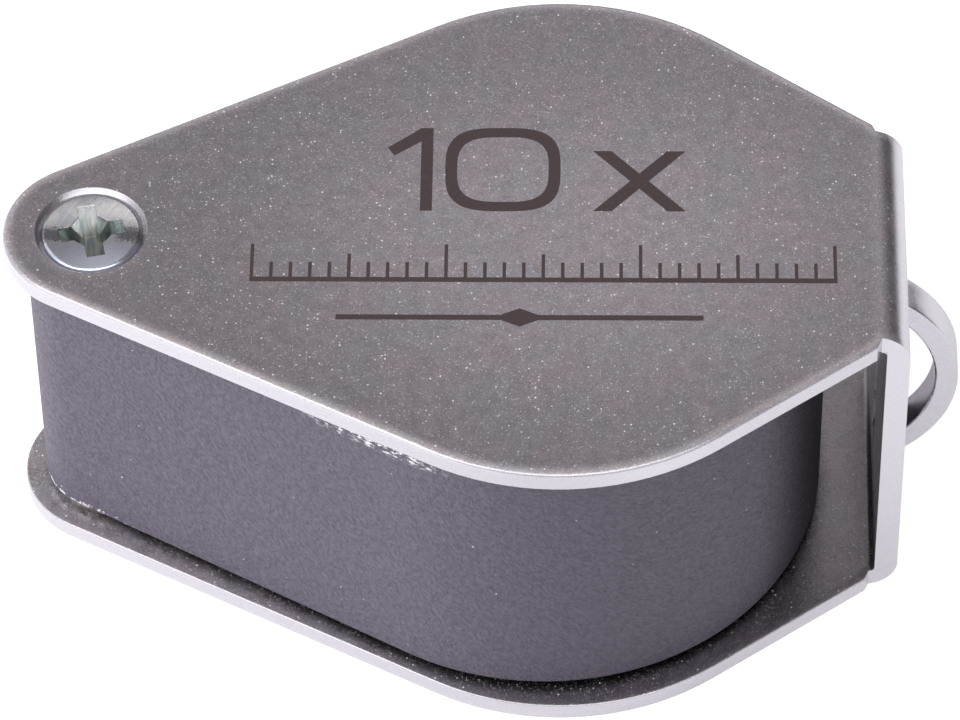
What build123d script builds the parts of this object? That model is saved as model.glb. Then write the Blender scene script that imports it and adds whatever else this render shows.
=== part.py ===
from build123d import *
from math import acos, asin, cos, pi, sin, sqrt
import os

# Folding pocket loupe: a sheet-metal case bent to a U, and a lens housing that swings out
# from between its two plates about a screwed pivot.
#
# Frame: the origin is where the folded lens's optical axis meets the plane that the loupe
# rests on. +X runs away from the pivot, to the web of the case, and +Z is up.
# The pieces are drawn about the pivot axis, and move to this frame as they are saved.
# Sizes are in millimetres.

# Case: two teardrop plates joined by a web.
case_height = 20.8
sheet = 1.2
pivot_end_radius = 4.6
side_arc_radius = 14.1
side_arc_x = 24.2
side_arc_y = 1.9
plate_end_x = 40.45
plate_end_half_width = 7.6
web_half_width = 7.0
web_outer_x = 42.2
web_step_x = 40.7
bend_outer_radius = 1.9
bend_inner_radius = 0.3
plate_edge_rounding = 0.25
plate_inner_rounding = 0.1

# Lanyard bow: a strip lanced out of the web.
bow_width = 1.9
bow_centre_z = 9.95
bow_outer_x = 45.25
bow_middle_radius = 7.25
bow_root_radius = 0.75
bow_edge_rounding = 0.1

# Pivot: a steel sleeve clamped between the plates by a screw at each end.
screw_mouth_radius = 2.92
screw_mouth_rounding = 0.05
screw_apex_depth = 0.01
screw_dome_radius = 2.4
screw_dome_height = 0.08
screw_shank_radius = 1.5
screw_length = 8.0
screw_tip_chamfer = 0.3
screw_rim_rounding = 0.28
recess_angle = 12
recess_span = 3.5
recess_arm_width = 0.95
recess_throat_width = 2.1
recess_depth = 1.5
recess_floor_span = 1.6
recess_floor_arm_width = 0.7
sleeve_radius = 2.1
thread_clearance = 0.01
running_clearance = 0.03

# Washers on the sleeve.
washer_inner_radius = 2.15
washer_outer_radius = 3.05
bottom_washer_thickness = 0.4
top_washer_thickness = 0.2
disc_spring_thickness = 0.15
disc_spring_height = 0.3

# Lens housing: a teardrop block with a lens bore.
housing_lens_x = 23.4
housing_lens_radius = 14.8
housing_pivot_radius = 3.45
housing_edge_rounding = 0.2
bore_chamfer = 0.25
housing_lip_height = 0.8
housing_lip_radius = 12.5

# Lens cell and its retaining ring.
cell_radius = 13.0
cell_fit_clearance = 0.02
cell_recess = 0.2
aperture_radius = 10.6
cell_flare_radius = 11.9
cell_flare_height = 2.4
lens_bore_radius = 11.55
ring_thread_radius = 12.1
ring_recess = 0.3
ring_flare_radius = 11.2
ring_land_height = 0.8
spanner_slot_width = 1.2
spanner_slot_depth = 0.8

# Cemented triplet: a thick crown element between two flint menisci, 25 mm focal length.
lens_radius = 11.5
outer_curvature = 21.0
inner_curvature = 15.0
flint_thickness = 1.6
crown_thickness = 12.8
cement_thickness = 0.01
lens_seat_radius = 11.0

# Heights worked out from the sizes above.
lower_plate_top = sheet
upper_plate_bottom = case_height - sheet
housing_bottom = lower_plate_top + bottom_washer_thickness
housing_top = upper_plate_bottom - disc_spring_height - top_washer_thickness
lens_centre_z = (housing_bottom + housing_top) / 2
half_triplet = crown_thickness / 2 + flint_thickness + cement_thickness


def revolved(points, x=0):
    """Solid of revolution about a vertical axis at x, from (radius, height) corners."""
    profile = Plane.XZ * make_face(Polyline(*points, close=True))
    return Pos(x, 0, 0) * revolve(profile, Axis.Z)


def teardrop(small_radius, large_radius, distance):
    """Flat outline of two circles, one at the origin and one on +X, and their tangents."""
    small = CenterArc((0, 0), small_radius, 0, 360)
    large = CenterArc((distance, 0), large_radius, 0, 360)
    return make_hull([small, large])


def case_outline():
    """The case from above: pivot end, side arcs, plate ends, slanted steps and web strip."""
    pivot_end = CenterArc((0, 0), pivot_end_radius, 0, 360)
    side_arcs = [
        CenterArc((side_arc_x, side * side_arc_y), side_arc_radius, 0, 360) for side in (-1, 1)
    ]
    plate_end = Line((plate_end_x, -plate_end_half_width), (plate_end_x, plate_end_half_width))
    plates = make_hull([pivot_end, *side_arcs, plate_end])
    web_strip = make_face(
        Polyline(
            (plate_end_x, -plate_end_half_width),
            (web_step_x, -web_half_width),
            (web_outer_x + sheet, -web_half_width),
            (web_outer_x + sheet, web_half_width),
            (web_step_x, web_half_width),
            (plate_end_x, plate_end_half_width),
            close=True,
        )
    )
    return plates + web_strip


def case_side_profile():
    """The bent sheet from the side: both plates and the web between them."""
    plate_length = web_outer_x + 2 * pivot_end_radius
    outside = Rectangle(plate_length, case_height, align=(Align.MAX, Align.MIN))
    outside = fillet(outside.vertices().group_by(Axis.X)[-1], bend_outer_radius)
    gap = Rectangle(plate_length, case_height - 2 * sheet, align=(Align.MAX, Align.MIN))
    gap = fillet(gap.vertices().group_by(Axis.X)[-1], bend_inner_radius)
    gap = Pos(-sheet, sheet) * gap
    return Pos(web_outer_x, 0) * (outside - gap)


def bow_profile():
    """Side view of the lanced strip: a big arc with a reversed root arc at each end."""
    web_middle_x = web_outer_x - sheet / 2
    centre_x = bow_outer_x - sheet / 2 - bow_middle_radius
    root_x = web_middle_x + bow_root_radius
    reach = bow_middle_radius + bow_root_radius
    root_rise = sqrt(reach**2 - (root_x - centre_x) ** 2)
    along = (root_x - centre_x) / reach
    rise = root_rise / reach

    def surface(offset):
        """One face of the strip, offset from its middle line, as three arcs upwards."""
        big = bow_middle_radius + offset
        small = bow_root_radius - offset
        crown = (centre_x + big, bow_centre_z)
        starts = []
        roots = []
        for side in (-1, 1):
            root_z = bow_centre_z + side * root_rise
            junction = (centre_x + big * along, bow_centre_z + side * big * rise)
            foot = (root_x - small, root_z)
            middle_along, middle_rise = 1 + along, side * rise
            scale = small / sqrt(middle_along**2 + middle_rise**2)
            middle = (root_x - scale * middle_along, root_z - scale * middle_rise)
            starts.append(foot)
            roots.append((ThreePointArc(foot, middle, junction), junction))
        main_arc = ThreePointArc(roots[0][1], crown, roots[1][1])
        return [roots[0][0], main_arc, roots[1][0]], starts

    outer, outer_feet = surface(sheet / 2)
    inner, inner_feet = surface(-sheet / 2)
    ends = [Line(outer_foot, inner_foot) for outer_foot, inner_foot in zip(outer_feet, inner_feet)]
    return make_face([*outer, *inner, *ends]), inner_feet[0][1], inner_feet[1][1]


def plate_rims(shell, heights):
    """Edges of the plates' flat faces at the given heights, up to the steps by the web."""
    corner_limit = plate_end_x - plate_edge_rounding
    flats = shell.faces().filter_by(Axis.Z)
    return [
        edge
        for face in flats
        if any(abs(face.center().Z - height) < plate_inner_rounding / 2 for height in heights)
        for edge in face.outer_wire().edges()
        if edge.center().X < corner_limit
    ]


def case_shell():
    """Two plates and the web, bent from one sheet, with the lanced bow and screw seats."""
    reach = 2 * side_arc_radius
    side = Plane.XZ * case_side_profile()
    shell = extrude(side, amount=reach, both=True) & extrude(case_outline(), case_height)

    shell = fillet(plate_rims(shell, (0, case_height)), plate_edge_rounding)
    inner_heights = (lower_plate_top, upper_plate_bottom)
    shell = fillet(plate_rims(shell, inner_heights), plate_inner_rounding)

    profile, window_bottom, window_top = bow_profile()
    window_height = window_top - window_bottom
    window = Pos(web_outer_x - sheet / 2, 0, window_bottom + window_height / 2) * Box(
        2 * sheet, bow_width, window_height
    )
    bow = extrude(Plane.XZ * profile, amount=bow_width / 2, both=True)
    long_edges = [edge for edge in bow.edges() if edge.geom_type == GeomType.CIRCLE]
    bow = fillet(long_edges, bow_edge_rounding)
    shell = shell - window + bow

    seat_floor_radius = screw_mouth_radius - sheet
    lower_seat = revolved([(0, 0), (screw_mouth_radius, 0), (seat_floor_radius, sheet), (0, sheet)])
    upper_seat = revolved(
        [
            (0, case_height),
            (screw_mouth_radius, case_height),
            (seat_floor_radius, upper_plate_bottom),
            (0, upper_plate_bottom),
        ]
    )
    shell = shell - lower_seat - upper_seat
    mouths = [
        edge
        for edge in shell.edges().filter_by(GeomType.CIRCLE)
        if edge.is_closed and abs(edge.radius - screw_mouth_radius) < screw_mouth_rounding
    ]
    return fillet(mouths, screw_mouth_rounding)


def screw_recess():
    """Cross recess cut down from the top of the head, its arms narrowing with depth."""
    arms = []
    for turn in (0, 90):
        mouth = Rectangle(recess_span, recess_arm_width)
        floor = Rectangle(recess_floor_span, recess_floor_arm_width)
        arm = loft([mouth, Pos(0, 0, -recess_depth) * floor])
        arms.append(Rot(0, 0, recess_angle + turn) * arm)
    throat_mouth = Rectangle(recess_throat_width, recess_throat_width)
    throat_floor = Rectangle(recess_floor_arm_width, recess_floor_arm_width)
    throat = loft([throat_mouth, Pos(0, 0, -recess_depth) * throat_floor])
    return arms[0] + arms[1] + Rot(0, 0, recess_angle + 45) * throat


def pivot_screw():
    """Raised countersunk screw with the plate's outer face at height 0, pointing down.

    Its shallow dome rolls over a round rim, which meets the 45 degree cone of the seat.
    """
    apex_z = -screw_apex_depth
    curvature = (screw_dome_radius**2 + screw_dome_height**2) / (2 * screw_dome_height)
    dome_edge = (screw_dome_radius, apex_z - screw_dome_height)
    dome_middle = (screw_dome_radius / 2, apex_z - sag(curvature, screw_dome_radius / 2))
    slope = asin(screw_dome_radius / curvature)
    rim_x = screw_dome_radius - screw_rim_rounding * sin(slope)
    rim_z = dome_edge[1] - screw_rim_rounding * cos(slope)
    seat_offset = (screw_mouth_radius - rim_x + rim_z) / screw_rim_rounding
    contact_angle = acos(seat_offset / sqrt(2)) - pi / 4

    def on_rim(angle):
        """Point of the rim's arc at an angle above the horizontal."""
        along = screw_rim_rounding * cos(angle)
        return (rim_x + along, rim_z + screw_rim_rounding * sin(angle))

    contact = on_rim(contact_angle)
    neck_z = contact[1] - (contact[0] - screw_shank_radius)
    dome = ThreePointArc((0, apex_z), dome_middle, dome_edge)
    rim = ThreePointArc(dome_edge, on_rim((contact_angle + pi / 2 - slope) / 2), contact)
    sides = Polyline(
        contact,
        (screw_shank_radius, neck_z),
        (screw_shank_radius, screw_tip_chamfer - screw_length),
        (screw_shank_radius - screw_tip_chamfer, -screw_length),
        (0, -screw_length),
        (0, apex_z),
    )
    screw = revolve(Plane.XZ * make_face([dome, rim, *sides.edges()]), Axis.Z)
    return screw - Pos(0, 0, apex_z) * screw_recess()


def pivot_sleeve():
    """Threaded spacer tube that the housing turns on, countersunk to clear the heads."""
    bore = screw_shank_radius + thread_clearance
    mouth = screw_mouth_radius - sheet + thread_clearance
    mouth_depth = mouth - bore
    return revolved(
        [
            (bore, lower_plate_top + mouth_depth),
            (mouth, lower_plate_top),
            (sleeve_radius, lower_plate_top),
            (sleeve_radius, upper_plate_bottom),
            (mouth, upper_plate_bottom),
            (bore, upper_plate_bottom - mouth_depth),
        ]
    )


def flat_washer(bottom, thickness):
    """Plain ring on the sleeve."""
    top = bottom + thickness
    return revolved(
        [
            (washer_inner_radius, bottom),
            (washer_outer_radius, bottom),
            (washer_outer_radius, top),
            (washer_inner_radius, top),
        ]
    )


def disc_spring():
    """Dished washer that takes up the play between the top washer and the upper plate."""
    base = upper_plate_bottom - disc_spring_height
    return revolved(
        [
            (washer_outer_radius, base),
            (washer_outer_radius, base + disc_spring_thickness),
            (washer_inner_radius, upper_plate_bottom),
            (washer_inner_radius, upper_plate_bottom - disc_spring_thickness),
        ]
    )


def lens_housing():
    """Teardrop block with the pivot bore and the stepped bore for the lens cell."""
    height = housing_top - housing_bottom
    outline = teardrop(housing_pivot_radius, housing_lens_radius, housing_lens_x)
    block = extrude(Pos(0, 0, housing_bottom) * outline, height)
    rims = block.edges().group_by(Axis.Z)
    block = fillet(rims[0] + rims[-1], housing_edge_rounding)
    pivot_bore = sleeve_radius + running_clearance
    lens_bore = cell_radius + cell_fit_clearance
    lip_top = housing_bottom + housing_lip_height
    block -= revolved(
        [
            (0, housing_bottom),
            (pivot_bore + bore_chamfer, housing_bottom),
            (pivot_bore, housing_bottom + bore_chamfer),
            (pivot_bore, housing_top - bore_chamfer),
            (pivot_bore + bore_chamfer, housing_top),
            (0, housing_top),
        ]
    )
    return block - revolved(
        [
            (0, housing_bottom),
            (housing_lip_radius + bore_chamfer, housing_bottom),
            (housing_lip_radius, housing_bottom + bore_chamfer),
            (housing_lip_radius, lip_top),
            (lens_bore, lip_top),
            (lens_bore, housing_top - bore_chamfer),
            (lens_bore + bore_chamfer, housing_top),
            (0, housing_top),
        ],
        housing_lens_x,
    )


def sag(curvature, radius):
    """Height lost by a sphere between its apex and the given distance off its axis."""
    return curvature - sqrt(curvature**2 - radius**2)


def seat_height(radius):
    """Distance from the triplet's centre to a cone that touches its outer surface."""
    slope = lens_seat_radius / sqrt(outer_curvature**2 - lens_seat_radius**2)
    touch = half_triplet - sag(outer_curvature, lens_seat_radius)
    return touch - slope * (radius - lens_seat_radius)


def lens_cell():
    """Barrel that holds the triplet: a flared front lip, the lens bore and a ring thread."""
    bottom = housing_bottom + housing_lip_height
    top = housing_top - cell_recess
    thread_bottom = lens_centre_z + seat_height(lens_bore_radius) - spanner_slot_depth / 2
    return revolved(
        [
            (cell_flare_radius, bottom),
            (cell_radius, bottom),
            (cell_radius, top - bore_chamfer),
            (cell_radius - bore_chamfer, top),
            (ring_thread_radius + bore_chamfer, top),
            (ring_thread_radius, top - bore_chamfer),
            (ring_thread_radius, thread_bottom),
            (lens_bore_radius, thread_bottom),
            (lens_bore_radius, lens_centre_z - seat_height(lens_bore_radius)),
            (aperture_radius, lens_centre_z - seat_height(aperture_radius)),
            (aperture_radius, bottom + cell_flare_height),
        ],
        housing_lens_x,
    )


def lens_retaining_ring():
    """Threaded ring that presses the triplet on its seat, with two spanner slots."""
    top = housing_top - cell_recess - ring_recess
    outer = ring_thread_radius - cell_fit_clearance
    seat_top = lens_centre_z + seat_height(aperture_radius)
    seat_bottom = lens_centre_z + seat_height(lens_bore_radius)
    ring = revolved(
        [
            (aperture_radius, seat_top),
            (lens_bore_radius, seat_bottom),
            (outer, seat_bottom),
            (outer, top - bore_chamfer),
            (outer - bore_chamfer, top),
            (ring_flare_radius, top),
            (aperture_radius, seat_top + ring_land_height),
        ],
        housing_lens_x,
    )
    slot = Box(2 * ring_thread_radius, spanner_slot_width, 2 * spanner_slot_depth)
    return ring - Pos(housing_lens_x, 0, top) * Rot(0, 0, 90) * slot


def lens_element(top_curvature, top_apex, bottom_curvature, bottom_apex):
    """Round lens between two spherical faces; a positive curvature is centred below."""
    faces = []
    for curvature, apex in ((top_curvature, top_apex), (bottom_curvature, bottom_apex)):
        direction = 1 if curvature > 0 else -1
        middle_z = apex - direction * sag(abs(curvature), lens_radius / 2)
        edge_z = apex - direction * sag(abs(curvature), lens_radius)
        faces.append(ThreePointArc((0, apex), (lens_radius / 2, middle_z), (lens_radius, edge_z)))
    rim = Line(faces[0] @ 1, faces[1] @ 1)
    axis = Line(faces[1] @ 0, faces[0] @ 0)
    profile = Plane.XZ * make_face([faces[0], rim, faces[1], axis])
    return Pos(housing_lens_x, 0, lens_centre_z) * revolve(profile, Axis.Z)


def save(node, solid):
    """Move one named sub-part from the pivot axis to the frame's origin and write it."""
    export_step(Pos(-housing_lens_x, 0, 0) * solid, f"parts/{node}.step")


half_crown = crown_thickness / 2
top_screw = Pos(0, 0, case_height) * pivot_screw()
bottom_screw = Rot(180, 0, 0) * pivot_screw()

os.makedirs("parts", exist_ok=True)
save("case_shell", case_shell())
save("pivot_sleeve", pivot_sleeve())
save("top_pivot_screw", top_screw)
save("bottom_pivot_screw", bottom_screw)
save("bottom_thrust_washer", flat_washer(lower_plate_top, bottom_washer_thickness))
save("top_thrust_washer", flat_washer(housing_top, top_washer_thickness))
save("disc_spring", disc_spring())
save("lens_housing", lens_housing())
save("lens_cell", lens_cell())
save("lens_retaining_ring", lens_retaining_ring())
save("crown_lens", lens_element(inner_curvature, half_crown, -inner_curvature, -half_crown))
save(
    "top_flint_lens",
    lens_element(outer_curvature, half_triplet, inner_curvature, half_crown + cement_thickness),
)
save(
    "bottom_flint_lens",
    lens_element(
        -inner_curvature, -half_crown - cement_thickness, -outer_curvature, -half_triplet
    ),
)
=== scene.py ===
import math

import bmesh
import bpy
from mathutils import Matrix, Vector


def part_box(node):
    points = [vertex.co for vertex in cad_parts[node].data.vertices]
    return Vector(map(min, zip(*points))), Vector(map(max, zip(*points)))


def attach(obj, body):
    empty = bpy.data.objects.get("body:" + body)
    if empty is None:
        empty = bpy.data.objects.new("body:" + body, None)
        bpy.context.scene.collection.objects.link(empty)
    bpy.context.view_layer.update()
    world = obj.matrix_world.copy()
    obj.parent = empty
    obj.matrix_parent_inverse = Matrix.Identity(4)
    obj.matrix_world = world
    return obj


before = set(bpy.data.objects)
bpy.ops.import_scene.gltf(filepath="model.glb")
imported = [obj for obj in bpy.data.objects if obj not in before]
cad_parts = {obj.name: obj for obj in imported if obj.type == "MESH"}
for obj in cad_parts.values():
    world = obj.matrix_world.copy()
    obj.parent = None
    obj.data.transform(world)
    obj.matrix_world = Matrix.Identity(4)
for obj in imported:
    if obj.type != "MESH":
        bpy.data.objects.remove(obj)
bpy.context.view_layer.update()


# ---- Sizes, in millimetres ----------------------------------------------------------------

MM = 0.001


def span(node):
    """Lower and upper corner of a CAD node's box, in millimetres."""
    low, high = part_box(node)
    return low / MM, high / MM


CASE_LOW, CASE_HIGH = span("case_shell")
HOUSING_LOW, HOUSING_HIGH = span("lens_housing")
SCREW_LOW, SCREW_HIGH = span("top_pivot_screw")
PIVOT = (SCREW_LOW + SCREW_HIGH) / 2

MIDDLE_HEIGHT = (CASE_LOW.z + CASE_HIGH.z) / 2
HALF_HEIGHT = CASE_HIGH.z - MIDDLE_HEIGHT
# The disc spring reaches up to the upper plate's inner face.
HALF_GAP = span("disc_spring")[1].z - MIDDLE_HEIGHT
PIVOT_TO_WEB = 41.0
WEB_INNER_X = PIVOT.x + PIVOT_TO_WEB
# A point this close to a face counts as being on it.
FACE_SLACK = 0.02

# The screw's countersunk seat, the arms of its cross recess, and the middle of the lint.
SEAT_RADIUS = 2.86
RECESS_REACH = 1.9
LINT_X = -8.4


# ---- Node helpers -------------------------------------------------------------------------


def new_material(name):
    """An empty node material with a Principled shader; returns the material and its builder."""
    material = bpy.data.materials.new(name)
    material.use_nodes = True
    return material, Nodes(material.node_tree)


class Nodes:
    """Short calls that add shader nodes to a tree and link them."""

    def __init__(self, tree):
        self.tree = tree
        self.shader = tree.nodes.get("Principled BSDF")

    def add(self, kind, **inputs):
        """A node with its inputs filled; an underscore in a name stands for a space."""
        node = self.tree.nodes.new(kind)
        for name, value in inputs.items():
            self.put(node, name.replace("_", " "), value)
        return node

    def put(self, node, socket, value):
        """Link the value to the socket if it is one, else store it; colours get full alpha."""
        target = node.inputs[socket]
        if isinstance(value, bpy.types.NodeSocket):
            self.tree.links.new(value, target)
        elif hasattr(target.default_value, "__len__") and len(target.default_value) == 4:
            target.default_value = (*value, 1.0)
        else:
            target.default_value = value

    def set(self, socket, value):
        """Fill an input of the Principled shader."""
        self.put(self.shader, socket, value)

    def operate(self, kind, operation, values):
        """A math node of this kind, its inputs filled in order."""
        node = self.add(kind)
        node.operation = operation
        for index, value in enumerate(values):
            self.put(node, index, value)
        return node

    def math(self, operation, *values):
        return self.operate("ShaderNodeMath", operation, values).outputs["Value"]

    def chain(self, operation, values):
        """The operation applied to the first value and each of the others in turn."""
        result, *others = values
        for value in others:
            result = self.math(operation, result, value)
        return result

    def total(self, *values):
        return self.chain("ADD", values)

    def product(self, *values):
        return self.chain("MULTIPLY", values)

    def largest(self, *values):
        return self.chain("MAXIMUM", values)

    def vector(self, operation, *values):
        return self.operate("ShaderNodeVectorMath", operation, values).outputs["Vector"]

    def scaled(self, arrow, factor):
        """A vector or colour times a number."""
        node = self.operate("ShaderNodeVectorMath", "SCALE", [arrow])
        self.put(node, "Scale", factor)
        return node.outputs["Vector"]

    def length(self, arrow):
        return self.operate("ShaderNodeVectorMath", "LENGTH", [arrow]).outputs["Value"]

    def axis(self, arrow, name):
        """The X, Y or Z part of a vector or colour."""
        return self.add("ShaderNodeSeparateXYZ", Vector=arrow).outputs[name]

    def ramp(self, value, low, high, to_low=0.0, to_high=1.0):
        """Smooth step: to_low where the value is low or less, to_high where it is high or more."""
        node = self.add("ShaderNodeMapRange", Value=value)
        node.interpolation_type = "SMOOTHSTEP"
        self.put(node, "From Min", low)
        self.put(node, "From Max", high)
        self.put(node, "To Min", to_low)
        self.put(node, "To Max", to_high)
        return node.outputs["Result"]

    def mix(self, share, low, high):
        """Colour mix: low at share 0, high at share 1."""
        factor, first, second, colour_out = 0, 6, 7, 2
        node = self.add("ShaderNodeMix")
        node.data_type = "RGBA"
        self.put(node, factor, share)
        self.put(node, first, low)
        self.put(node, second, high)
        return node.outputs[colour_out]

    def bump(self, height, distance, strength=1.0, normal=None):
        node = self.add("ShaderNodeBump", Height=height, Distance=distance, Strength=strength)
        if normal is not None:
            self.put(node, "Normal", normal)
        return node.outputs["Normal"]

    def millimetres(self, stretch=(1, 1, 1), turn=(0, 0, 0)):
        """Object coordinates in millimetres, optionally turned and stretched."""
        place = self.add("ShaderNodeTexCoord").outputs["Object"]
        turned = self.add("ShaderNodeMapping", Vector=place, Rotation=turn).outputs["Vector"]
        scale = tuple(s / MM for s in stretch)
        return self.add("ShaderNodeMapping", Vector=turned, Scale=scale).outputs["Vector"]

    def noise(self, place, scale, detail=2.0, roughness=0.5):
        node = self.add(
            "ShaderNodeTexNoise", Vector=place, Scale=scale, Detail=detail, Roughness=roughness
        )
        return node.outputs["Fac"]

    def cells(self, place, scale):
        """Voronoi cells: a random Color in each and the Distance from its middle."""
        return self.add("ShaderNodeTexVoronoi", Vector=place, Scale=scale)

    def glints(self, place, clouds, density, dullest, brightest):
        """Scattered round specks of varied brightness, gathered where the clouds are light."""
        cells = self.cells(place, density)
        luck = self.total(self.axis(cells.outputs["Color"], "X"), self.product(clouds, 0.16))
        spot = self.ramp(cells.outputs["Distance"], 0.15, 0.42, 1.0, 0.0)
        return self.product(self.ramp(luck, dullest, brightest), spot)

    def pivot_offset(self, place):
        """Level vector in millimetres from the pivot axis."""
        offset = self.vector("SUBTRACT", place, (PIVOT.x, PIVOT.y, 0.0))
        return self.vector("MULTIPLY", offset, (1.0, 1.0, 0.0))

    def from_pivot(self, place):
        """Distance in millimetres from the pivot axis."""
        return self.length(self.pivot_offset(place))


# ---- Glitter paint of the case ------------------------------------------------------------


def glitter_paint():
    """Silver paint full of aluminium flakes with painted glints and a painted highlight, bright at
    its worn rims, with painted shade between the plates.
    """
    material, n = new_material("glitter_paint")
    place = n.millimetres()
    facing = n.add("ShaderNodeTexCoord").outputs["Normal"]
    level = n.math("ABSOLUTE", n.axis(facing, "Z"))
    flatness = n.ramp(level, 0.65, 0.9, 0.25, 1.0)
    clouds = n.noise(place, 1.3, 2.0)
    grain = n.noise(place, 12.0, 2.0, 0.6)
    haze = n.noise(place, 0.8, 4.0, 0.6)
    openness = n.add("ShaderNodeAmbientOcclusion", Distance=2.2 * MM).outputs["AO"]
    between = n.math("COMPARE", n.axis(place, "Z"), MIDDLE_HEIGHT, HALF_GAP + FACE_SLACK)
    inside = n.product(between, side_towards_lens(n, place, facing))

    colour = flake_colour(n, place, clouds, grain, flatness)
    # Painted shade: the inner faces darken into the corners and towards the web.
    shade_between_plates = n.product(inside, painted_shade_cover(n, place, grain, haze, openness))
    colour = n.mix(shade_between_plates, colour, (0.07, 0.065, 0.07))
    # Painted shade: the countersunk seat round the screw is darker.
    seat = n.math("LESS_THAN", n.from_pivot(place), SEAT_RADIUS)
    colour = n.mix(n.product(seat, 0.12), colour, (0.16, 0.155, 0.165))
    # Painted glints: pale specks standing in for flakes that catch the light.
    specks = n.product(painted_flake_glints(n, place, clouds, inside), flatness)
    n.set("Base Color", n.mix(specks, colour, (0.9, 0.88, 0.9)))

    crisp = n.add("ShaderNodeNewGeometry").outputs["Normal"]
    rolled = n.add("ShaderNodeBevel", Radius=0.9 * MM).outputs["Normal"]
    soft = n.mix(n.ramp(level, 0.02, 0.3, 0.0, 0.25), crisp, rolled)
    tilt = n.vector("SUBTRACT", n.cells(place, 14.0).outputs["Color"], (0.5, 0.5, 0.5))
    tilt = n.scaled(tilt, n.product(flatness, 0.07))
    n.set("Normal", n.vector("NORMALIZE", n.vector("ADD", soft, tilt)))

    worn = n.product(
        n.ramp(n.length(n.vector("SUBTRACT", rolled, crisp)), 0.0, 0.5, 0.0, 0.5),
        n.math("SUBTRACT", 1.0, between),
        n.ramp(n.from_pivot(place), 3.3, 3.9),
        flatness,
    )
    dust = n.product(inside, dust_cover(n, place, haze, openness))
    dull = n.total(dust, n.product(specks, 0.75), worn)
    n.set("Metallic", n.math("SUBTRACT", 1.0, dull))
    n.set("Roughness", n.ramp(clouds, 0.3, 0.7, 0.27, 0.32))
    return material


def side_towards_lens(n, place, facing):
    """1 on the plates and the web's inner side, 0 on the web's outer side and its edges."""
    before_web = n.math("LESS_THAN", n.axis(place, "X"), WEB_INNER_X + FACE_SLACK)
    turned_inward = n.ramp(n.axis(facing, "X"), -0.25, -0.1, 1.0, 0.0)
    return n.largest(before_web, turned_inward)


def flake_colour(n, place, clouds, grain, flatness):
    """Grainy silver, warm and cool in patches, with a painted highlight that makes the middle of
    the faces paler.
    """
    shade = n.total(n.product(clouds, 0.14), n.product(grain, 0.86))
    patches = n.ramp(n.noise(place, 0.45, 2.0), 0.4, 0.6)
    face = n.mix(patches, (0.86, 0.77, 0.81), (0.81, 0.78, 0.825))
    light = n.mix(flatness, (0.72, 0.70, 0.775), face)
    dark = n.mix(flatness, (0.68, 0.66, 0.73), (0.62, 0.58, 0.61))
    colour = n.mix(n.ramp(shade, 0.3, 0.66), dark, light)

    # Painted highlight: the flat faces are paler round a point near their middle.
    off_centre = n.vector("SUBTRACT", place, (1.0, -1.0, 0.0))
    off_centre = n.length(n.vector("MULTIPLY", off_centre, (0.85, 1.2, 0.0)))
    painted_highlight = n.product(n.ramp(off_centre, 3.0, 18.0, 0.07, -0.2), flatness)
    return n.scaled(colour, n.total(1.0, painted_highlight))


def painted_shade_cover(n, place, grain, haze, openness):
    """Painted shade between the plates: dark in the corners, with a patchy painted shade growing
    stronger towards the web.
    """
    across = n.axis(place, "X")
    # Painted shade in the corners, where the occlusion finds little open space.
    corner_shade = n.product(
        n.ramp(openness, 0.25, 0.75, 1.0, 0.0),
        n.ramp(across, -21.0, 4.0, 0.25, 0.75),
        n.ramp(grain, 0.4, 0.6, 1.3, 0.75),
    )
    # Painted shade deepening towards the web, a little patchy.
    web_side_shade = n.total(n.ramp(haze, 0.35, 0.65, 0.0, 0.08), n.ramp(across, -10.0, 8.0, 0.0, 0.17))
    return n.total(corner_shade, web_side_shade)


def dust_cover(n, place, haze, openness):
    """Pale dust towards the pivot, thinner in the corners."""
    return n.product(
        n.ramp(n.axis(place, "X"), -20.0, 2.0, 0.16, 0.0),
        n.ramp(haze, 0.35, 0.6, 0.35, 1.0),
        n.ramp(openness, 0.3, 0.7, 0.1, 1.0),
    )


def painted_flake_glints(n, place, clouds, inside):
    """Painted glints, standing in for flakes that catch the light: a few bright ones, many faint
    ones, more between the plates.
    """
    bright = n.glints(place, clouds, 6.0, 0.975, 1.1)
    faint = n.product(n.glints(place, clouds, 8.5, 0.74, 0.98), 0.42)
    sparkle = n.product(n.glints(place, clouds, 10.0, 0.5, 1.0), inside, 0.33)
    return n.largest(bright, faint, sparkle)


# ---- Grained coating of the lens housing --------------------------------------------------


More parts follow.
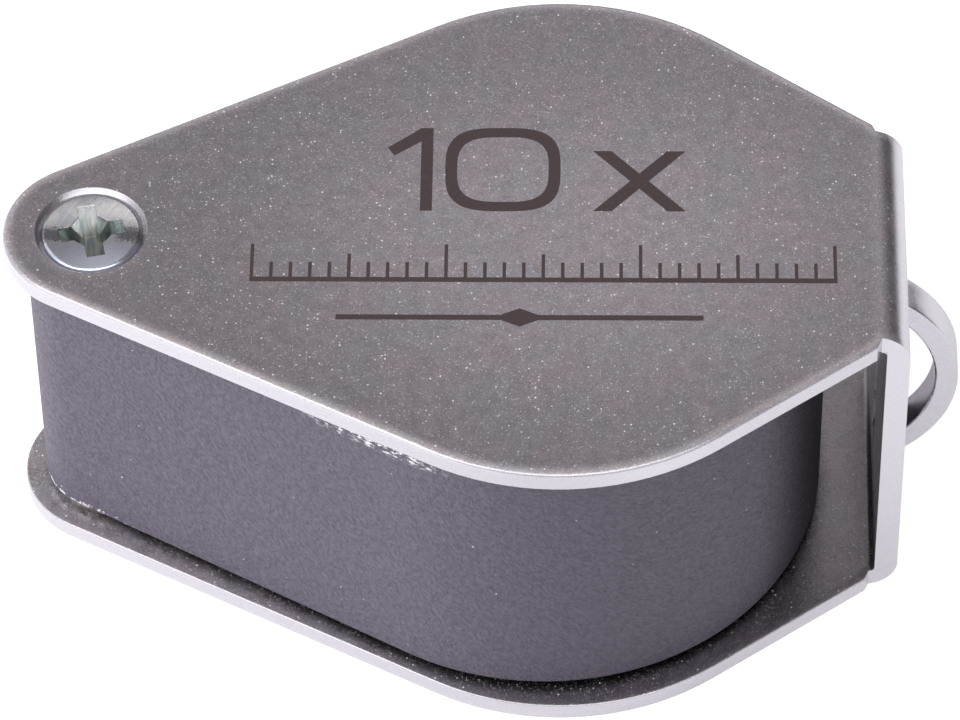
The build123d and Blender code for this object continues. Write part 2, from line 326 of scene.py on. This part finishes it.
def grained_coating():
    """Dark grey coating with slanting wrinkles, dust specks, a chipped lower rim, lint, and
    painted shade on the side towards the web.
    """
    material, n = new_material("grained_coating")
    place = n.millimetres()
    slanted = n.millimetres(stretch=(3.2, 4.2, 5.0), turn=(0.0, math.radians(-58), 0.0))
    swayed = n.vector("ADD", slanted, n.scaled(n.noise(place, 1.1, 3.0), 2.2))
    wrinkle = n.noise(swayed, 1.0, 3.0, 0.6)
    pores = n.cells(swayed, 0.8).outputs["Distance"]
    leaning = n.millimetres(stretch=(0.7, 1.0, 1.3), turn=(0.0, math.radians(-50), 0.0))
    broad = n.noise(leaning, 1.0)
    crease = n.math("ABSOLUTE", n.math("SUBTRACT", n.noise(swayed, 0.42, 2.0), 0.5))
    crease = n.product(n.ramp(crease, 0.0, 0.07, -0.3, 0.0), n.ramp(broad, 0.42, 0.62))
    height = n.total(wrinkle, n.product(pores, 0.3), n.product(broad, 0.6), crease)
    n.set("Normal", n.bump(height, 0.1 * MM, 0.8))

    tone = n.mix(n.ramp(wrinkle, 0.3, 0.7), (0.082, 0.07, 0.095), (0.116, 0.1, 0.134))
    # Painted shade: darker where the surface turns towards +X, the web's side when folded.
    facing = n.axis(n.add("ShaderNodeTexCoord").outputs["Normal"], "X")
    tone = n.scaled(tone, n.ramp(facing, 0.74, 0.95, 1.0, 0.33))
    pale = n.largest(dust_specks(n, place), chipped_rim(n, place), lint_patch(n, place))
    n.set("Base Color", n.mix(pale, tone, (0.72, 0.71, 0.74)))
    n.set("Roughness", n.ramp(wrinkle, 0.3, 0.7, 0.62, 0.5))
    n.set("Specular IOR Level", 0.32)
    return material


def dust_specks(n, place):
    """A few small pale specks."""
    cells = n.cells(place, 1.7)
    lucky = n.ramp(n.axis(cells.outputs["Color"], "X"), 0.9, 1.0)
    return n.product(lucky, n.ramp(cells.outputs["Distance"], 0.05, 0.11, 1.0, 0.0))


def chipped_rim(n, place):
    """Chips along the lower rim, most of them at the pivot."""
    rim = HOUSING_LOW.z
    low = n.ramp(n.axis(place, "Z"), rim + 0.1, rim + 1.1, 0.08, -0.4)
    at_pivot = n.ramp(n.axis(place, "X"), PIVOT.x - 1.1, PIVOT.x + 4.4, 0.05, -0.17)
    return n.ramp(n.total(n.noise(place, 3.0, 4.0, 0.75), at_pivot, low), 0.6, 0.7)


def lint_patch(n, place):
    """Lint along the upper edge at the front, caught under the upper plate."""
    crest = HOUSING_HIGH.z
    near_crest = n.ramp(n.axis(place, "Z"), crest - 1.2, crest - 0.75)
    beside = n.math("ABSOLUTE", n.math("SUBTRACT", n.axis(place, "X"), LINT_X))
    at_front = n.math("LESS_THAN", n.axis(place, "Y"), 0.0)
    fluff = n.noise(n.millimetres(stretch=(0.8, 1.0, 2.0)), 3.2, 4.0, 0.7)
    patch = n.ramp(beside, 2.0, 4.2, 1.0, 0.0)
    return n.product(near_crest, patch, at_front, n.ramp(fluff, 0.5, 0.6))


# ---- Zinc plating of the screws -----------------------------------------------------------


def zinc_plate():
    """Zinc plating with the blue and yellow tint of its passivation, greener in the recess."""
    material, n = new_material("zinc_plate")
    place = n.millimetres()
    from_middle = n.math("ABSOLUTE", n.math("SUBTRACT", n.axis(place, "Z"), MIDDLE_HEIGHT))
    recess = n.product(
        n.ramp(from_middle, HALF_HEIGHT - 0.3, HALF_HEIGHT - 0.12, 1.0, 0.0),
        n.ramp(n.from_pivot(place), RECESS_REACH - 0.05, RECESS_REACH + 0.05, 1.0, 0.0),
    )
    pits = n.noise(place, 7.0, 3.0)
    scratches = n.noise(n.millimetres(stretch=(5, 0.7, 1), turn=(0, 0, 0.5)), 2.0, 4.0, 0.7)

    head = head_colour(n, place, pits)
    n.set("Base Color", n.mix(recess, head, recess_colour(n, place, from_middle)))
    n.set("Metallic", 1.0)
    rough = n.ramp(scratches, 0.35, 0.65, 0.16, 0.26)
    n.set("Roughness", n.total(rough, n.product(recess, 0.12)))

    rounded = n.add("ShaderNodeBevel", Radius=0.07 * MM).outputs["Normal"]
    swell = n.scaled(n.pivot_offset(place), n.product(n.math("SUBTRACT", 1.0, recess), 0.06))
    domed = n.vector("NORMALIZE", n.vector("ADD", rounded, swell))
    relief = n.total(scratches, n.product(pits, 0.6))
    n.set("Normal", n.bump(relief, 0.012 * MM, 0.5, domed))
    return material


def head_colour(n, place, pits):
    """Pale metal with yellow patches, bluer at the front, with a painted dark reflection along the
    middle.
    """
    tint = n.noise(place, 0.9, 2.0)
    colour = n.mix(n.ramp(tint, 0.38, 0.52), (0.78, 0.8, 0.85), (0.88, 0.87, 0.88))
    colour = n.mix(n.ramp(tint, 0.58, 0.7), colour, (0.88, 0.86, 0.8))
    back = n.axis(place, "Y")
    colour = n.mix(n.ramp(back, -1.3, -0.4, 0.8, 0.0), colour, (0.74, 0.80, 0.93))

    # Painted reflection: a dark band across the middle of the domed head, broken up by the pits.
    beside = n.math("ABSOLUTE", n.total(back, n.product(tint, 0.5)))
    dark_reflection = n.total(n.ramp(beside, 0.15, 0.95, 1.0, 0.0), n.ramp(pits, 0.45, 0.6, -0.25, 0.1))
    dark_reflection = n.product(dark_reflection, n.ramp(n.from_pivot(place), 0.9, 1.7))
    return n.mix(n.ramp(dark_reflection, 0.25, 0.9, 0.0, 0.85), colour, (0.22, 0.22, 0.24))


def recess_colour(n, place, from_middle):
    """Greenish streaks in the cross recess, with painted shade making it darker at its front and
    with depth.
    """
    streaks = n.noise(n.millimetres(stretch=(4.0, 0.6, 0.6)), 1.3, 3.0)
    colour = n.mix(n.ramp(streaks, 0.34, 0.66), (0.62, 0.74, 0.77), (0.92, 0.93, 0.84))
    # Painted shade: darker towards the front and deeper down in the recess.
    recess_shade = n.product(
        n.ramp(n.axis(place, "Y"), -1.1, 0.5, 0.65, 1.15),
        n.ramp(from_middle, HALF_HEIGHT - 1.55, HALF_HEIGHT - 0.5, 0.5, 1.05),
        n.ramp(streaks, 0.36, 0.64, 0.86, 1.08),
    )
    return n.scaled(colour, recess_shade)


# ---- Other materials ----------------------------------------------------------------------


def turned_steel():
    """Turned steel with fine rings of tool marks."""
    material, n = new_material("turned_steel")
    rings = n.noise(n.millimetres(stretch=(0.2, 0.2, 6)), 4.0, 2.0)
    n.set("Base Color", n.mix(rings, (0.5, 0.5, 0.5), (0.66, 0.65, 0.64)))
    n.set("Metallic", 1.0)
    n.set("Roughness", n.ramp(rings, 0.3, 0.7, 0.25, 0.4))
    n.set("Normal", n.bump(rings, 0.01 * MM, 0.5))
    return material


def nylon():
    """Natural nylon, faintly mottled."""
    material, n = new_material("nylon")
    mottle = n.noise(n.millimetres(), 3.0, 3.0)
    n.set("Base Color", n.mix(mottle, (0.7, 0.68, 0.63), (0.82, 0.8, 0.76)))
    n.set("Roughness", n.ramp(mottle, 0.3, 0.7, 0.4, 0.55))
    n.set("Normal", n.bump(mottle, 0.01 * MM, 0.4))
    return material


def black_anodised():
    """Black anodised aluminium, satin, with faint turning marks."""
    material, n = new_material("black_anodised")
    marks = n.noise(n.millimetres(stretch=(0.3, 0.3, 5)), 5.0, 2.0)
    n.set("Base Color", n.mix(marks, (0.012, 0.012, 0.014), (0.03, 0.03, 0.034)))
    n.set("Metallic", 0.4)
    n.set("Roughness", n.ramp(marks, 0.3, 0.7, 0.32, 0.45))
    n.set("Normal", n.bump(marks, 0.008 * MM, 0.5))
    return material


def optical_glass():
    """Polished glass with a faint coating tint."""
    material, n = new_material("optical_glass")
    haze = n.noise(n.millimetres(), 0.4, 3.0)
    n.set("Base Color", n.mix(haze, (0.97, 0.985, 0.98), (1.0, 1.0, 1.0)))
    n.set("Roughness", n.ramp(haze, 0.3, 0.7, 0.0, 0.01))
    n.set("Transmission Weight", 1.0)
    n.set("IOR", 1.52)
    return material


def marking_ink():
    """Dark brown screen-printed ink, a little uneven."""
    material, n = new_material("marking_ink")
    place = n.millimetres()
    mottle = n.noise(place, 6.0, 3.0)
    n.set("Base Color", n.mix(mottle, (0.042, 0.03, 0.033), (0.07, 0.052, 0.054)))
    n.set("Roughness", n.ramp(mottle, 0.3, 0.7, 0.5, 0.65))
    n.set("Specular IOR Level", 0.3)
    n.set("Normal", n.bump(n.noise(place, 25.0, 2.0), 0.01 * MM, 0.3))
    return material


# ---- Finishes of the CAD nodes ------------------------------------------------------------

GLASS = optical_glass()
BLACK = black_anodised()
NYLON = nylon()
STEEL = turned_steel()
ZINC = zinc_plate()
FINISHES = {
    "case_shell": glitter_paint(),
    "lens_housing": grained_coating(),
    "top_pivot_screw": ZINC,
    "bottom_pivot_screw": ZINC,
    "pivot_sleeve": STEEL,
    "disc_spring": STEEL,
    "bottom_thrust_washer": NYLON,
    "top_thrust_washer": NYLON,
    "lens_cell": BLACK,
    "lens_retaining_ring": BLACK,
    "crown_lens": GLASS,
    "top_flint_lens": GLASS,
    "bottom_flint_lens": GLASS,
}

for node_name, finish in FINISHES.items():
    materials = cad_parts[node_name].data.materials
    materials.clear()
    materials.append(finish)


# ---- Marking on the case ------------------------------------------------------------------

INK = marking_ink()
INK_BOTTOM = CASE_HIGH.z - 0.01
INK_TOP = CASE_HIGH.z + 0.012
STROKE = 0.62
# For multiples of ten, of five and of one millimetre, in the order they are tried.
TICK_HEIGHTS = {10: 2.5, 5: 1.85, 1: 1.3}


def printed(name, *shapes):
    """A printed mark on the top face, of thin solids between an outline and its hole."""
    built = bmesh.new()
    for outline, hole in shapes:
        outer = raised_wall(built, outline)
        inner = raised_wall(built, hole)
        for around, within in zip(outer, inner):
            if within:
                for index in range(len(around)):
                    before = index - 1
                    built.faces.new((around[before], around[index], within[index], within[before]))
            else:
                built.faces.new(around)
    bmesh.ops.recalc_face_normals(built, faces=built.faces)
    mesh = bpy.data.meshes.new(name)
    built.to_mesh(mesh)
    built.free()
    mesh.materials.append(INK)
    piece = bpy.data.objects.new(name, mesh)
    bpy.context.scene.collection.objects.link(piece)
    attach(piece, "case")


def raised_wall(built, points):
    """The ink's side wall along closed points; returns its lower and upper loop."""
    low, high = (
        [built.verts.new(Vector((x, y, z)) * MM) for x, y in points] for z in (INK_BOTTOM, INK_TOP)
    )
    for index in range(len(points)):
        before = index - 1
        built.faces.new((low[before], low[index], high[index], high[before]))
    return low, high


def rounded_loop(centre, half_width, half_height):
    """Points round a superellipse, squarer than an ellipse."""
    steps = 72
    squareness = 3.2
    power = 2 / squareness
    points = []
    for step in range(steps):
        angle = 2 * math.pi * step / steps
        along, up = math.cos(angle), math.sin(angle)
        x = centre[0] + half_width * math.copysign(abs(along) ** power, along)
        y = centre[1] + half_height * math.copysign(abs(up) ** power, up)
        points.append((x, y))
    return points


def zero(centre, half_width, half_height):
    """The digit 0 and its hole."""
    return (
        rounded_loop(centre, half_width, half_height),
        rounded_loop(centre, half_width - STROKE, half_height - STROKE),
    )


def one(right, bottom, top):
    """The digit 1: a stem with a slanted flag at its left."""
    left = right - STROKE
    flag_low = top - 1.35
    return [
        (left, bottom),
        (right, bottom),
        (right, top),
        (left, top),
        (left - 1.75, flag_low),
        (left - 1.4, flag_low - STROKE * 0.85),
        (left, top - STROKE * 1.45),
    ]


def times_sign(centre, half_width, half_height):
    """A multiplication sign: two crossed bars, cut level, as one outline of twelve corners."""
    slant = STROKE / 2 * math.hypot(half_width, half_height) / half_height
    notch = slant * half_height / (half_width - slant)
    quarter = [
        (0, notch),
        (half_width - 2 * slant, half_height),
        (half_width, half_height),
        (slant, 0),
    ]
    points = []
    for across, up in ((1, 1), (1, -1), (-1, -1), (-1, 1)):
        ordered = quarter if across * up > 0 else quarter[::-1]
        points += [(centre[0] + across * x, centre[1] + up * y) for x, y in ordered[:-1]]
    return points


def graduated_scale(left, length, bottom, line):
    """A ruler: a base line with a tick each millimetre, longer at the fives and the tens."""
    half_tick = 0.09
    points = [(left - half_tick, bottom), (left + length + half_tick, bottom)]
    for step in range(length, -1, -1):
        height = next(tall for every, tall in TICK_HEIGHTS.items() if step % every == 0)
        x = left + step
        points += [
            (x + half_tick, bottom + line),
            (x + half_tick, bottom + height),
            (x - half_tick, bottom + height),
            (x - half_tick, bottom + line),
        ]
    return points


def lozenge_rule(centre, half_length, half_line, half_lozenge):
    """A thin rule with a lozenge at its middle."""
    x, y = centre
    slope_end = half_lozenge * 1.6
    return [
        (x - half_length, y - half_line),
        (x - slope_end, y - half_line),
        (x, y - half_lozenge),
        (x + slope_end, y - half_line),
        (x + half_length, y - half_line),
        (x + half_length, y + half_line),
        (x + slope_end, y + half_line),
        (x, y + half_lozenge),
        (x - slope_end, y + half_line),
        (x - half_length, y + half_line),
    ]


printed(
    "marking_magnification",
    (one(right=-5.8, bottom=1.4, top=7.05), []),
    zero(centre=(-2.15, 4.22), half_width=3.0, half_height=2.85),
    (times_sign(centre=(4.95, 3.45), half_width=2.4, half_height=2.05), []),
)
printed("marking_scale", (graduated_scale(left=-15.0, length=30, bottom=-3.4, line=0.3), []))
rule = lozenge_rule(centre=(-1.2, -5.75), half_length=9.4, half_line=0.16, half_lozenge=0.6)
printed("marking_rule", (rule, []))


# ---- Stage, in metres ---------------------------------------------------------------------

FLOOR_HALF = 3.0


def floor():
    """Plain pale floor; what the object sees of it is brighter at the left, darker front right."""
    mesh = bpy.data.meshes.new("floor")
    corners = [
        (-FLOOR_HALF, -FLOOR_HALF, 0),
        (FLOOR_HALF, -FLOOR_HALF, 0),
        (FLOOR_HALF, FLOOR_HALF, 0),
        (-FLOOR_HALF, FLOOR_HALF, 0),
    ]
    mesh.from_pydata(corners, [], [(0, 1, 2, 3)])
    piece = bpy.data.objects.new("floor", mesh)
    bpy.context.scene.collection.objects.link(piece)
    material, n = new_material("floor")
    place = n.add("ShaderNodeTexCoord").outputs["Object"]
    across = n.axis(place, "X")
    front = n.ramp(n.axis(place, "Y"), -0.06, -0.02, 1.0, 0.0)
    front_right = n.product(front, n.ramp(across, 0.03, 0.08, 0.0, 0.44))
    glow = n.total(n.ramp(across, -0.05, 0.0, 0.66, 0.38), n.ramp(across, 0.0, 0.02, 0.0, 0.16))
    glow = n.math("SUBTRACT", glow, front_right)
    seen = n.add("ShaderNodeLightPath").outputs["Is Camera Ray"]
    n.set("Base Color", (0.5, 0.5, 0.5))
    n.set("Roughness", 0.9)
    n.set("Specular IOR Level", 0.1)
    n.set("Emission Color", (1.0, 1.0, 1.0))
    n.set("Emission Strength", n.largest(glow, n.product(seen, 0.8)))
    mesh.materials.append(material)


def softbox(name, place, width, height, watts, mirrored):
    """Rectangular soft light aimed at the object; its own mirror image can be left out."""
    data = bpy.data.lights.new(name, "AREA")
    data.shape = "RECTANGLE"
    data.size = width
    data.size_y = height
    data.energy = watts
    light = bpy.data.objects.new(name, data)
    bpy.context.scene.collection.objects.link(light)
    light.location = place
    light.rotation_euler = (-Vector(place)).to_track_quat("-Z", "Y").to_euler()
    light.visible_glossy = mirrored


def studio_world():
    """Grey room with a light panel at the back and one at the left; the camera sees white."""
    world = bpy.data.worlds.new("studio")
    bpy.context.scene.world = world
    world.use_nodes = True
    n = Nodes(world.node_tree)
    direction = n.add("ShaderNodeTexCoord").outputs["Generated"]
    across = n.axis(direction, "X")
    forward = n.axis(direction, "Y")
    height = n.axis(direction, "Z")

    low = n.mix(n.ramp(forward, -0.5, -0.1), (0.25, 0.245, 0.26), (0.085, 0.082, 0.088))
    room = n.mix(n.ramp(height, 0.25, 0.62), low, (0.25, 0.237, 0.247))
    room = n.mix(n.ramp(height, 0.85, 0.95), room, (0.5, 0.49, 0.5))

    back_band = n.product(n.ramp(height, 0.44, 0.5), n.ramp(height, 0.62, 0.7, 1.0, 0.0))
    back_panel = n.product(back_band, n.ramp(forward, 0.6, 0.74))
    room = n.mix(back_panel, room, (0.75, 0.74, 0.75))

    left_panel = n.product(n.ramp(across, -0.65, -0.45, 1.0, 0.0), n.ramp(height, 0.1, 0.22))
    left_colour = n.mix(n.ramp(forward, -0.25, 0.0), (1.5, 1.5, 1.53), (0.85, 0.85, 0.87))
    room = n.mix(left_panel, room, left_colour)

    room = n.scaled(room, n.ramp(across, -0.14, 0.08, 0.88, 1.1))
    room = n.scaled(room, n.ramp(across, 0.3, 0.54, 1.0, 0.7))
    seen = n.add("ShaderNodeLightPath").outputs["Is Camera Ray"]
    sky = n.tree.nodes["Background"]
    n.put(sky, "Color", n.mix(seen, room, (0.97, 0.97, 0.97)))
    n.put(sky, "Strength", 1.0)


def camera():
    """Camera at the photograph's viewing angle."""
    azimuth, elevation, roll = (math.radians(a) for a in (1.4843, 50.9317, -0.9334))
    distance = 353.27 * MM
    target = Vector((-3.61, 8.32, 0.0)) * MM
    back = Vector(
        (
            math.sin(azimuth) * math.cos(elevation),
            -math.cos(azimuth) * math.cos(elevation),
            math.sin(elevation),
        )
    )
    data = bpy.data.cameras.new("camera")
    data.sensor_width = 36.0
    data.lens = 241.02
    data.clip_start = 0.01
    data.clip_end = 50
    body = bpy.data.objects.new("camera", data)
    bpy.context.scene.collection.objects.link(body)
    turn = (-back).to_track_quat("-Z", "Y").to_matrix().to_4x4()
    body.matrix_world = (
        Matrix.Translation(target + back * distance) @ turn @ Matrix.Rotation(roll, 4, "Z")
    )
    bpy.context.scene.camera = body


floor()
studio_world()
softbox("key", (-0.535, -0.047, 0.31), width=0.42, height=0.42, watts=5.0, mirrored=False)
softbox("front", (-0.02, -0.46, 0.42), width=1.4, height=0.3, watts=2.7, mirrored=True)
camera()
bpy.context.scene.view_settings.view_transform = "Standard"
